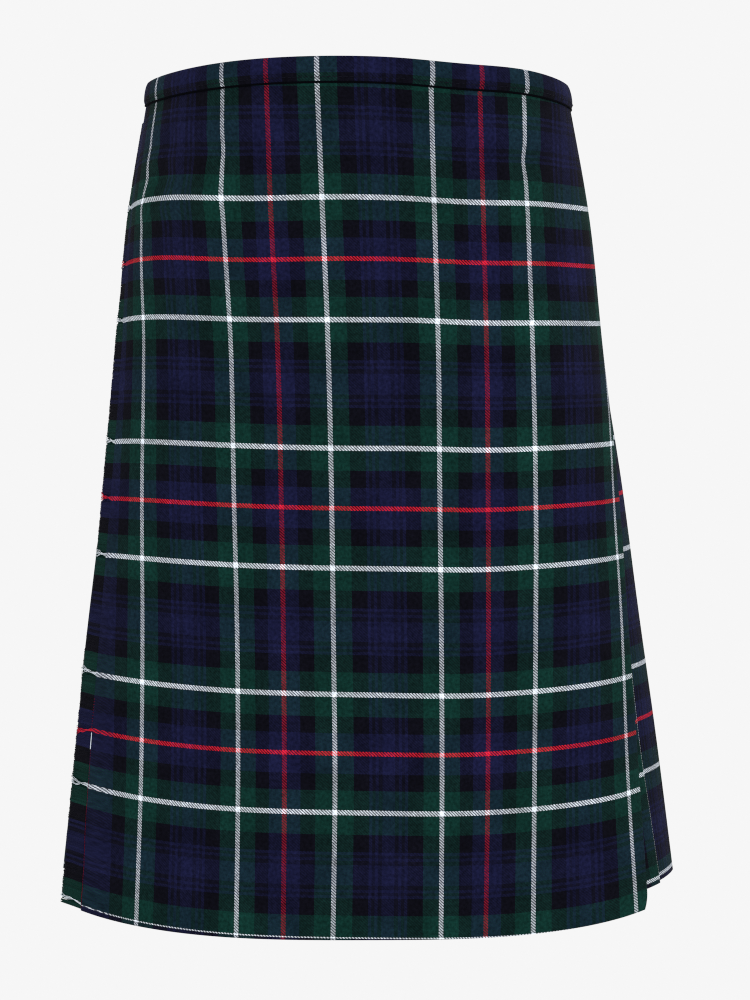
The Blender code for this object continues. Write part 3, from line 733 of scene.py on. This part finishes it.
def apron_fringe(material):
    """The warp threads past the apron's cut edge, two rows deep. The back row is straight
    and dark; in front of it the threads of the light stripes cross each other in tufts."""
    rng = np.random.default_rng(FRINGE_SEED)
    z = np.arange(FRINGE_TOP, 0.0008 - DROP, -WARP_PITCH / 2)
    cut = size_at("cut_edge", z)
    _, down = apron_cloth(z, cut)
    back_row = np.arange(len(z)) % 2
    away = from_stripe(down)
    light = np.abs(away) < TUFT_THREADS
    tuft = light & (back_row == 0) & ((down < SELVEDGE_FROM) | (np.abs(away) < 2))
    wool = down + np.where(light & ~tuft, 8 * WARP_PITCH * np.sign(away), 0)
    low = (down > SELVEDGE_FROM) & ~tuft
    wool[low] = SELVEDGE_FROM + 0.0002
    wool[tuft & (down > SELVEDGE_FROM)] = HEM_LINE[0] + 0.0003
    reach = np.interp(-z, *zip(*FRINGE_LENGTHS))
    reach = reach * (1 + 0.010 * np.sin(z * 410) + 0.008 * np.sin(z * 975 + 1))
    reach = (reach * rng.uniform(0.97, 1.0, len(z)))[:, None]
    share = np.linspace(0, 1, FRINGE_POINTS)[None, :]
    phase = rng.uniform(0, 2 * math.pi, reach.shape)
    wild = rng.uniform(0.2, 1.0, reach.shape) * (0.3 + reach / 0.02)
    away, pull = away[:, None], tuft[:, None].astype(float)
    crossing = 2.1 * away * WARP_PITCH * pull * np.sin(0.5 * math.pi * share) ** 1.4
    crossing = crossing + pull * np.interp(z, *zip(*TUFT_LEANS))[:, None] * share
    tangle = 0.0013 * pull * np.sin(phase + 7.5 * share) * share
    lean = rng.normal(0, 0.00012, reach.shape) * wild
    droop = (0.0006 * (reach / 0.02) ** 2 + lean) * share**1.6
    wave = 0.00010 * wild * np.sin(phase + share * (5 + 3 * wild)) * share
    depth = 0.00012 * wild * np.cos(1.7 * phase + share * (4 + 3 * wild)) * share
    depth = depth + (0.0002 + 0.0005 * pull) * share - 0.0007 * back_row[:, None]
    s = cut[:, None] + 0.0006 - (reach + 0.0006) * share
    level = np.maximum(z[:, None] - droop + wave + crossing + tangle, -DROP - 0.0004)
    out = APRON_LIFT + (reach * share) ** 2 / (2 * FRINGE_CURVE) + depth
    routes = FORM.world(level, s, out)
    cloth = np.stack(np.broadcast_arrays(0.0 * s, wool[:, None] + 0 * s), -1)
    radius = THREAD_RADIUS * (1 - 0.12 * share**3) * (1 - 0.42 * pull)
    return tubes("apron_fringe", routes, radius, FRINGE_SIDES, material, cloth)


# -------- threads at the cut edge
def edge_thread(name, z_top, z_low, radius, material, dips):
    """A weft thread left loose at the cut edge, over and under the ends of the warp."""
    z = np.arange(z_top, z_low, -WARP_PITCH)
    step = np.arange(len(z))
    out = APRON_LIFT + WALL / 2 + 0.0001 + dips * (np.sin(step * math.pi / 2) - 0.4)
    away = 0.0004 + 0.0003 * np.sin(z * 95) + 0.0001 * np.sin(z * 410)
    routes = FORM.world(z, size_at("cut_edge", z) + away, out)[None]
    return tubes(name, routes, radius, 4, material)


# -------- straps and buckles
STRAPS = (
    ("right_waist", -0.038, 0.012, -1),
    ("right_hip", -0.130, 0.012, -1),
    ("left_waist", -0.038, -0.0275, 1),
)
LEATHER = 0.0020
CHAPE = 0.0016
STRAP_WIDTH = 0.025
BAR = 0.0013
PRONG = 0.0009
PRONG_HOLE = 0.0022
CLOTH_FACE = WALL / 2 + 0.00035
STRAP_OUT = CLOTH_FACE + LEATHER / 2
OUTER_BAR_OUT = STRAP_OUT + LEATHER / 2 + GAP + BAR
CHAPE_OUT = CLOTH_FACE + CHAPE / 2
HINGE_OUT = CHAPE_OUT + CHAPE / 2 + GAP + BAR
FLAP_OUT = HINGE_OUT + BAR + GAP + CHAPE / 2
OVER_OUT = FLAP_OUT + CHAPE / 2 + GAP + LEATHER / 2
OUTER_BAR_AT = 0.056
HINGE_AT = 0.082
SLOT_BEHIND = 0.0040
STRAP_END = 0.132
CHAPE_END = 0.120
FLAP_END = 0.100
KEEPER_AT = 0.092
KEEPER_WIDTH = 0.006
KEEPER_WALL = 0.0014
POINT = 0.011  # the length of the strap's pointed end
PRONG_SLOT = (0.0625, 0.0745)  # where the prong goes through the strap
PUNCHED = (0.1055, 0.1140, 0.1225)
PUNCHED_HALF = 0.0012
PRONG_END = ((0.006, -0.0005), (-0.002, 0.0001))  # past the outer bar, and out
CORNER_TURN = 0.003
ROUND_EDGE = 0.0007
SEWN_BOX = (0.003, 0.034, 0.0098)  # its ends along the strap and half its width
BOX_STITCH = 0.0025


class Strap:
    """Coordinates of one strap: q along it from its root, out, and rise across it."""

    def __init__(self, name, z, inset, way):
        self.name, self.z, self.way = name, z, way
        self.edge = "cut_edge" if way < 0 else "fold_edge"
        self.root = size_at(self.edge, z) - way * inset

    def world(self, q, out, rise):
        z = self.z + rise
        shift = size_at(self.edge, z) - size_at(self.edge, self.z)
        return FORM.world(z, self.root + shift + self.way * q, out)

    def ribbon(self, kind, q, out, half, thickness, pierced, material):
        """Leather with rounded edges along (q, out). half is its half width at each
        point, and pierced says which lengths between the points have a hole."""
        inner = PRONG_HOLE / (STRAP_WIDTH / 2)
        edge = 1 - ROUND_EDGE / (STRAP_WIDTH / 2) * np.array([0, 0.3, 1.0])
        across = np.concatenate([edge, [0.6, inner, -inner, -0.6], -edge[::-1]])
        round_off = np.array([0.35, 0.75, 1, 1, 1, 1, 1, 1, 0.75, 0.35])
        normal_q, normal_out = path_normals(q, out)
        rise = half[None, :] * across[:, None]
        offsets = [sign * thickness / 2 * round_off[:, None] for sign in (1, -1)]
        sides = [self.world(q + by * normal_q, out + by * normal_out, rise) for by in offsets]
        keep = np.ones((len(across) - 1, len(q) - 1), bool)
        keep[4] = ~pierced
        order = self.way if q[-1] > q[0] else -self.way
        faces = wall_faces(*rise.shape, keep)[:, ::order]
        return make_object(f"{kind}_{self.name}", sides, faces, material, sharp=50)

    def strap(self, material):
        climb = zip((*PRONG_SLOT, 0.080), (0.24, 0.90, 1.0))
        knots = [(0, STRAP_OUT), (OUTER_BAR_AT + 0.001, STRAP_OUT)]
        knots += [(q, STRAP_OUT + up * (OVER_OUT - STRAP_OUT)) for q, up in climb]
        knots += [(q, OVER_OUT) for q in (0.090, 0.101)]
        knots += [(0.117, OVER_OUT - 0.0006), (STRAP_END, OVER_OUT - 0.0018)]
        holes = [*PRONG_SLOT] + [q + by for q in PUNCHED for by in (-PUNCHED_HALF, PUNCHED_HALF)]
        tip = STRAP_END - POINT * (1 - np.linspace(0, 1, 9)) ** 1.5
        q = np.unique(np.round(np.concatenate([np.linspace(0, STRAP_END, 60), holes, tip]), 6))
        out = np.interp(q, *zip(*knots))
        left = np.clip((STRAP_END - q) / POINT, 0, 1)
        half = STRAP_WIDTH / 2 * (0.20 + 0.80 * np.sin(left * math.pi / 2) ** 0.8)
        middle, spans = (q[1:] + q[:-1]) / 2, zip(holes[::2], holes[1::2])
        pierced = np.any([(low < middle) & (middle < high) for low, high in spans], axis=0)
        return self.ribbon("strap", q, out, half, LEATHER, pierced, material)

    def chape(self, material):
        turn = HINGE_OUT - CHAPE_OUT
        start = np.linspace(CHAPE_END, HINGE_AT, 14)
        angles = math.pi * np.arange(1, 14) / 14
        bend_q, bend_out = HINGE_AT - turn * np.sin(angles), HINGE_OUT - turn * np.cos(angles)
        flap = np.array([HINGE_AT, HINGE_AT + SLOT_BEHIND, 0.093, FLAP_END])
        q = np.concatenate([start, bend_q, flap])
        out = np.concatenate([0 * start + CHAPE_OUT, bend_out, 0 * flap + FLAP_OUT])
        slot = np.zeros(len(q) - 1, bool)
        slot[len(start) - 1 : -2] = True
        half = STRAP_WIDTH / 2 + 0 * q
        return self.ribbon("chape", q, out, half, CHAPE, slot, material)

    def keeper(self, material):
        leg = STRAP_WIDTH / 2 + GAP + KEEPER_WALL / 2
        top = OVER_OUT + LEATHER / 2 + GAP + KEEPER_WALL / 2
        bend = 0.0012
        turn = np.radians(np.linspace(0, 90, 6))
        rise = np.concatenate([[leg], leg - bend + bend * np.cos(turn), [0]])
        out = np.concatenate([[CLOTH_FACE], top - bend + bend * np.sin(turn), [top]])
        rise, out = np.append(rise, -rise[-2::-1]), np.append(out, out[-2::-1])
        up, outwards = path_normals(rise, out)
        share = np.array([-1, -0.92, -0.75, 0, 0.75, 0.92, 1])[:, None]
        thick = KEEPER_WALL / 2 * np.array([0.5, 0.85, 1, 1, 1, 0.85, 0.5])[:, None]
        q = KEEPER_AT + KEEPER_WIDTH / 2 * share + 0 * rise
        offsets = (-thick, thick)
        sides = [self.world(q, out + by * outwards, rise + by * up) for by in offsets]
        faces = wall_faces(*q.shape)[:, :: -self.way]
        return make_object(f"keeper_{self.name}", sides, faces, material, sharp=50)

    def bar(self, kind, route, radius, sides, material):
        q, rise, out = np.array(route, float).T
        return tubes(f"{kind}_{self.name}", self.world(q, out, rise)[None], radius, sides, material)

    def buckle(self, material):
        reach = STRAP_WIDTH / 2 + GAP + BAR + 0.0012
        corner, length = CORNER_TURN, HINGE_AT - OUTER_BAR_AT
        middle = (HINGE_AT + OUTER_BAR_AT) / 2
        route = [(HINGE_AT, 0, HINGE_OUT)]
        for turn_q, turn_rise, first in ((1, 1, 0), (-1, 1, 90), (-1, -1, 180), (1, -1, 270)):
            for angle in np.radians(first + np.linspace(0, 90, 7)):
                q = middle + turn_q * (length / 2 - corner) + corner * math.cos(angle)
                rise = turn_rise * (reach - corner) + corner * math.sin(angle)
                share = (q - OUTER_BAR_AT) / length
                out = OUTER_BAR_OUT + (HINGE_OUT - OUTER_BAR_OUT) * share
                route.append((q, rise, out))
        route.append((HINGE_AT, -0.00001, HINGE_OUT))
        return self.bar("buckle", route, BAR, 14, material)

    def prong(self, material):
        ring = BAR + GAP + PRONG
        route = [
            (HINGE_AT - ring * math.cos(turn), 0.0, HINGE_OUT + ring * math.sin(turn))
            for turn in np.radians(np.linspace(120, 30, 8))
        ]
        rest = OUTER_BAR_OUT + BAR + GAP + PRONG
        route += [(HINGE_AT - 0.0075, 0.0, HINGE_OUT + 0.0012)]
        route += [(OUTER_BAR_AT + by, 0.0, rest + up) for by, up in PRONG_END]
        return self.bar("prong", route, np.append(np.full(10, PRONG), 0.0006), 10, material)

    def stitches(self, material):
        """A sewn box on the strap's root."""
        start, stop, side = SEWN_BOX
        starts = [(q, rise, 1, 0) for q in np.arange(start, stop, 0.0036) for rise in (side, -side)]
        rises = np.arange(-side, side - 0.0018, 0.0036)
        starts += [(q, rise, 0, 1) for rise in rises for q in (start, stop)]
        part = np.linspace(0, 1, 5)
        out = STRAP_OUT + LEATHER / 2 + 0.00032 * np.sin(math.pi * part) - 0.00012
        routes = [
            self.world(q + BOX_STITCH * along * part, out, rise + BOX_STITCH * up * part)
            for q, rise, along, up in starts
        ]
        return tubes(f"stitches_{self.name}", np.stack(routes), 0.00028, 6, material)


# -------- materials
TWILL_DEPTH = 0.00012
LEATHER_GRAIN = 1400.0  # a metre


class Nodes:
    """Short ways to add shader nodes. values are inputs by name or number, and each is
    set, or linked where it is another node's output."""

    def __init__(self, name):
        self.material = bpy.data.materials.new(name)
        self.material.use_nodes = True
        self.tree = self.material.node_tree
        self.shader = self.tree.nodes["Principled BSDF"]

    def fill(self, node, values):
        for name, value in values.items():
            if isinstance(value, bpy.types.NodeSocket):
                self.tree.links.new(value, node.inputs[name])
            else:
                node.inputs[name].default_value = value

    def add(self, kind, values=None, output=0, **settings):
        node = self.tree.nodes.new(kind)
        for name, value in settings.items():
            setattr(node, name, value)
        self.fill(node, values or {})
        return node.outputs[output]

    def math(self, operation, *values):
        return self.add("ShaderNodeMath", dict(enumerate(values)), operation=operation)

    def mix(self, share, first, second, blend="MIX"):
        values = {0: share, 6: first, 7: second}
        return self.add("ShaderNodeMix", values, 2, data_type="RGBA", blend_type=blend)

    def mix_value(self, share, first, second):
        return self.add("ShaderNodeMix", {0: share, 2: first, 3: second}, data_type="FLOAT")

    def bump(self, height, strength, depth):
        values = {"Strength": strength, "Distance": depth, "Height": height}
        self.fill(self.shader, {"Normal": self.add("ShaderNodeBump", values)})

    def stripes(self, thread, threads, half):
        """The colour of a numbered thread that counts from a red pivot."""
        ramp = self.tree.nodes.new("ShaderNodeValToRGB")
        ramp.color_ramp.interpolation = "CONSTANT"
        stops = ramp.color_ramp.elements
        start = 0
        for number, part in enumerate(threads.split()):
            stop = stops[number] if number < 2 else stops.new(start / half)
            stop.position = start / half
            stop.color = (*WOOL[part[0]], 1)
            start += int(part[1:])
        place = self.math("PINGPONG", self.math("ADD", thread, 0.5), float(half))
        self.fill(ramp, {0: self.math("DIVIDE", place, float(half))})
        return ramp.outputs[0]


def tartan(name="tartan_wool", hem_line=HEM_LINE, fringe=False):
    """Two-and-two twill of the sett; the map "cloth" holds metres across and down. Past
    the white hem_line the cloth ends in a plain selvedge."""
    n = Nodes(name)
    place = n.add("ShaderNodeUVMap", uv_map="cloth")
    across, down = (n.add("ShaderNodeSeparateXYZ", {0: place}, k) for k in (0, 1))
    weft_at = n.math("ADD", n.math("DIVIDE", across, WEFT_PITCH), float(WEFT_HALF))
    warp_at = n.math("DIVIDE", down, WARP_PITCH)
    weft, warp = n.math("FLOOR", weft_at), n.math("FLOOR", warp_at)
    warp_colour = n.stripes(warp, WARP_THREADS, WARP_HALF)
    for stop, wool in zip((SELVEDGE_FROM, *hem_line), (WOOL["G"], WOOL["W"], SELVEDGE)):
        warp_colour = n.mix(n.math("GREATER_THAN", down, stop), warp_colour, (*wool, 1))
    if fringe:
        colour, number = warp_colour, warp
    else:
        step = n.math("FLOORED_MODULO", n.math("SUBTRACT", weft, warp), 4.0)
        on_top = n.math("LESS_THAN", step, 1.5)
        weft_colour = n.stripes(weft, WEFT_THREADS, WEFT_HALF)
        greys = [n.add("ShaderNodeRGBToBW", {0: wool}) for wool in (weft_colour, warp_colour)]
        dark = n.math("LESS_THAN", n.math("MAXIMUM", *greys), DARK)
        both_light = n.math("GREATER_THAN", n.math("MINIMUM", *greys), DARK)
        through = n.math("MULTIPLY", dark, DARK_SHOW_THROUGH - SHOW_THROUGH)
        through = n.math("ADD", through, SHOW_THROUGH)
        show = n.mix_value(on_top, through, n.math("SUBTRACT", 1.0, through))
        colour = n.mix(show, weft_colour, warp_colour)
        number = n.math("ADD", weft, n.math("MULTIPLY", warp, 0.618))
        add_twill_relief(n, weft_at, warp_at, on_top)
    tint = n.add("ShaderNodeTexWhiteNoise", {"W": number}, noise_dimensions="1D")
    light = n.math("ADD", n.math("MULTIPLY", tint, THREAD_TINT), 1 - THREAD_TINT / 2)
    for scale, amount in UNEVEN:
        values = {"Vector": place, "Scale": scale, "Detail": 3.0}
        patch = n.add("ShaderNodeTexNoise", values, noise_dimensions="2D")
        patch = n.math("ADD", n.math("MULTIPLY", patch, amount), 1 - amount / 2)
        light = n.math("MULTIPLY", light, patch)
    if not fringe:
        # Painted light: crossings of light threads are brightened, as if no dark neighbour shaded
        # them.
        light = n.math("ADD", light, n.math("MULTIPLY", both_light, LIGHT_ON_LIGHT))
    base = n.mix(1.0, colour, light, "MULTIPLY")
    n.fill(n.shader, {"Base Color": base, "Roughness": 0.95, "Specular IOR Level": 0.04})
    n.fill(n.shader, {"Sheen Weight": 0.01, "Sheen Roughness": 0.5})
    return n.material


def add_twill_relief(n, weft_at, warp_at, on_top):
    """Each float is round across its own thread."""
    turns = [n.math("MULTIPLY", n.math("FRACT", at), math.pi) for at in (weft_at, warp_at)]
    n.bump(n.mix_value(on_top, *[n.math("SINE", turn) for turn in turns]), 0.35, TWILL_DEPTH)


def plain(name, colour, roughness, specular, metallic=0.0):
    n = Nodes(name)
    n.fill(n.shader, {"Base Color": (*colour, 1), "Roughness": roughness})
    n.fill(n.shader, {"Specular IOR Level": specular, "Metallic": metallic})
    return n


def leather():
    """Black bridle leather with a fine grain."""
    n = plain("black_leather", (0.0100, 0.0092, 0.0088), 0.48, 0.28)
    place = n.add("ShaderNodeTexCoord", output="Object")
    values = {"Vector": place, "Scale": LEATHER_GRAIN, "Detail": 2.0}
    n.bump(n.add("ShaderNodeTexNoise", values), 0.25, 0.00015)
    return n.material


# -------- setting
CAMERA_AT = (0.0107, -2.315, -0.1768)
CAMERA_DOWN = math.atan(185 / 3177)
LENS = 114.4
BACKDROP = 0.922
LIGHTS = (("key", (1.5, -2.5, 1.4), 1.6, 24), ("fill", (-1.9, -2.4, 0.6), 1.8, 4))
LIT = (0, 0, -0.32)  # what the lights point at


def camera():
    data = bpy.data.cameras.new("camera")
    data.sensor_width, data.lens = 36.0, LENS
    thing = placed("camera", data)
    thing.location = CAMERA_AT
    thing.rotation_euler = (math.pi / 2 - CAMERA_DOWN, 0, 0)
    bpy.context.scene.camera = thing


def lights():
    world = bpy.data.worlds.new("studio")
    world.use_nodes = True
    world.node_tree.nodes["Background"].inputs[0].default_value = (BACKDROP,) * 3 + (1,)
    bpy.context.scene.world = world
    for name, at, size, power in LIGHTS:
        data = bpy.data.lights.new(name, "AREA")
        data.size, data.energy = size, power
        thing = placed(name, data)
        thing.location = at
        aim = np.subtract(LIT, at)
        pitch = math.atan2(aim[2], math.hypot(aim[0], aim[1]))
        thing.rotation_euler = (math.pi / 2 + pitch, 0, math.atan2(-aim[0], aim[1]))


def render_settings():
    scene = bpy.context.scene
    scene.view_settings.view_transform = "Standard"
    scene.view_settings.look = "None"
    scene.cycles.pixel_filter_type = "BLACKMAN_HARRIS"
    scene.cycles.filter_width = 1.15
    scene.cycles.use_denoising = False


# -------- making
WOOL_CLOTH = tartan()
WOOL_PLEATS = tartan("tartan_wool_pleats", PLEAT_HEM_LINE)
WOOL_ENDS = tartan("tartan_wool_ends", fringe=True)

BAND_SEWING = plain("navy_sewing_thread", (0.005, 0.005, 0.012), 0.8, 0.1).material
# Painted shade: the near-black colour of the tubes in the grooves under the bands.
BAND_GROOVE_SHADE = plain("painted_groove_shade", (0.0015, 0.0016, 0.0028), 0.95, 0.02).material
bands = {
    "waistband_over_apron": over_apron_band(WOOL_CLOTH),
    "waistband_back": back_band(WOOL_CLOTH),
    "waistband_under_apron": under_apron_band(WOOL_CLOTH),
}
made = {
    "over_apron": over_apron(WOOL_CLOTH),
    "under_apron": under_apron(WOOL_CLOTH),
    "pleats_left": pleats("pleats_left", 1, LEFT_PLEATS, WOOL_PLEATS),
    "pleats_right": pleats("pleats_right", LEFT_PLEATS + 1, PLEATS, WOOL_PLEATS),
    **{node: sewn[0] for node, sewn in bands.items()},
    "apron_fringe": apron_fringe(WOOL_ENDS),
}
LOOSE_RED = plain("loose_red_thread", WOOL["R"], 0.95, 0.04).material
WORN_RED = plain("worn_red_thread", (0.11, 0.005, 0.016), 0.95, 0.04).material
LOOSE_WHITE = plain("loose_white_thread", WOOL["W"], 0.95, 0.04).material
loose = [
    edge_thread("edge_thread_dotted", -0.4565, -0.478, 0.00032, LOOSE_RED, dips=0.0007),
    edge_thread("edge_thread_low", -0.492, -0.609, 0.00026, WORN_RED, dips=0.0001),
    edge_thread("edge_thread_white", -0.4818, -0.494, 0.0005, LOOSE_WHITE, dips=0.0),
]
for node, piece in made.items():
    piece.name = "cloth_" + node
    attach(piece, "root")
    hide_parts(node)
for piece in loose + [line for sewn in bands.values() for line in sewn[1]]:
    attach(piece, "root")

# Each piece's cut: its greatest width and length before pleating, and its area.
CUTS = {
    "over_apron": ((0.456, 0.618), None, "hung", "waistband_over_apron"),
    "under_apron": ((0.44, 0.606), None, "hung", "waistband_under_apron"),
    "pleats_left": ((1.20, 0.606), 0.53, "folded", "waistband_back"),
    "pleats_right": ((1.20, 0.606), 0.53, "folded", "waistband_back"),
    "waistband_over_apron": ((0.416, 0.036), None, "folded", "over_apron"),
    "waistband_back": ((0.43, 0.036), None, "folded", "pleats_left"),
    "waistband_under_apron": ((0.33, 0.036), None, "folded", "under_apron"),
}
ON_CLOTH = {"over_apron": [made["apron_fringe"], *loose]}
ON_CLOTH |= {node: list(sewn[1]) for node, sewn in bands.items()}
for node, (flat, area, held, on) in CUTS.items():
    worn = ON_CLOTH.get(node, ())
    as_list(worn)

BLACK_LEATHER = leather()
CHROME = plain("chromed_steel", (0.78, 0.78, 0.80), 0.16, 0.5, 1.0).material
WAXED_THREAD = plain("waxed_black_thread", (0.035, 0.034, 0.033), 0.6, 0.3).material
for row in STRAPS:
    strap = Strap(*row)
    for kind in ("strap", "chape", "keeper", "buckle", "prong"):
        metal = kind in ("buckle", "prong")
        piece = getattr(strap, kind)(CHROME if metal else BLACK_LEATHER)
        piece.name = f"fine_{kind}_{strap.name}"
        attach(piece, "root")
        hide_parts(f"{kind}_{strap.name}")
    sewn = strap.stitches(WAXED_THREAD)
    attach(sewn, "root")

camera()
lights()
render_settings()

bounds = {"solids": solid_bounds, "looks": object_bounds()}
{name: [list(corner) for corner in box] for name, box in bounds.items()}
